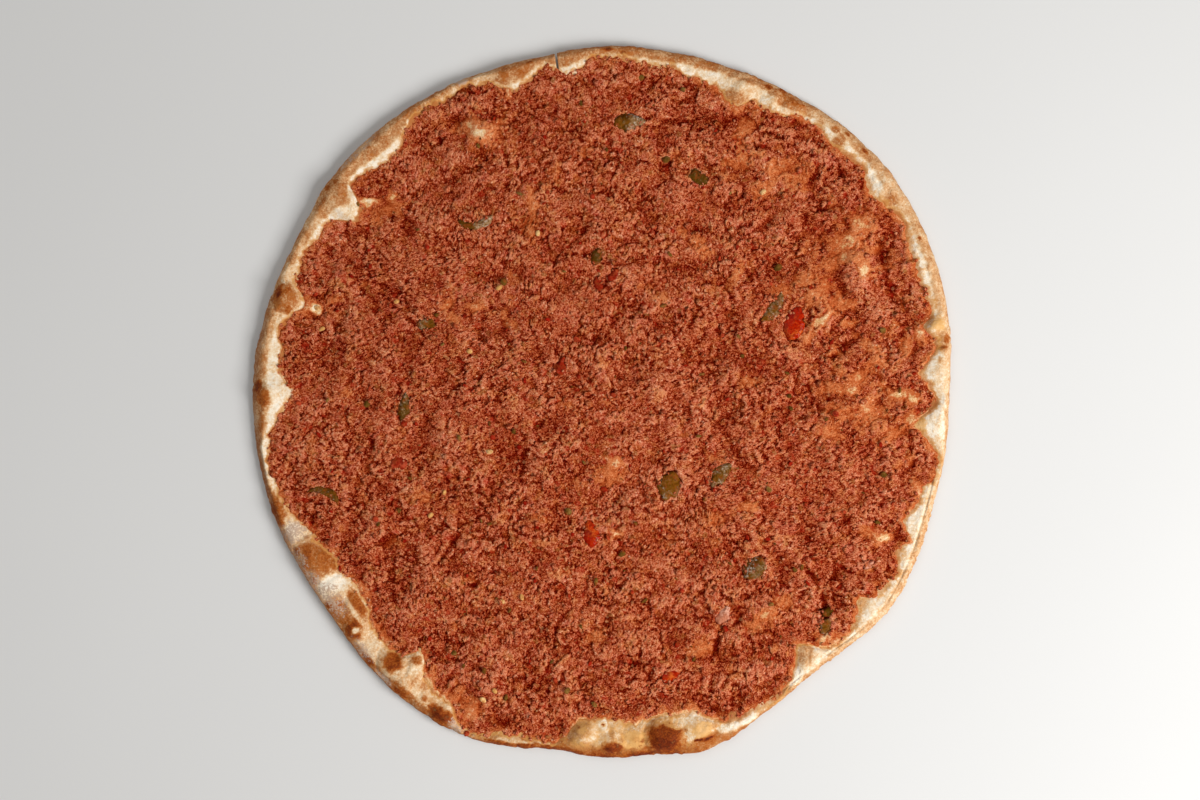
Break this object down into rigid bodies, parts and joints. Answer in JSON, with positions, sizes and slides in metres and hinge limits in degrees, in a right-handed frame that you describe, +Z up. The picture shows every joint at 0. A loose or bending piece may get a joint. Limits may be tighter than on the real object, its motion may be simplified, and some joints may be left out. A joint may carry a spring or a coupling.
{
  "type": "lahmacun",
  "caption": "Whole round lahmacun: thin baked flatbread with a low puffed, blistered rim, covered with spiced minced meat and chopped pepper and tomato.",
  "frame": {"origin": "centre of the bounding box on the surface the bread rests on", "axes": "+Z up out of the meat, +Y along the bread's slightly longer width, +X to the right of it seen from above"},
  "size_m": [0.3076, 0.3133, 0.0116],
  "materials": {
    "flatbread": "matt baked crust, floured, browned on its blisters",
    "meat": "moist coarse mince with a slight oily sheen",
    "green_pepper": "roasted olive green skin, glossy where wet",
    "red_pepper": "roasted dark red skin, semi-gloss",
    "tomato": "wet orange red flesh, glossy",
    "onion": "pale pink, translucent look, semi-gloss"
  },
  "bodies": {
    "root": {"flatbread": "flatbread", "meat_topping": "meat", "green_pepper_1": "green_pepper", "green_pepper_2": "green_pepper", "green_pepper_3": "green_pepper", "green_pepper_4": "green_pepper", "green_pepper_5": "green_pepper", "green_pepper_6": "green_pepper", "green_pepper_7": "green_pepper", "green_pepper_8": "green_pepper", "green_pepper_9": "green_pepper", "green_pepper_10": "green_pepper", "green_pepper_11": "green_pepper", "red_pepper_1": "red_pepper", "red_pepper_2": "red_pepper", "tomato_1": "tomato", "tomato_2": "tomato", "onion_1": "onion"}
  },
  "joints": []
}
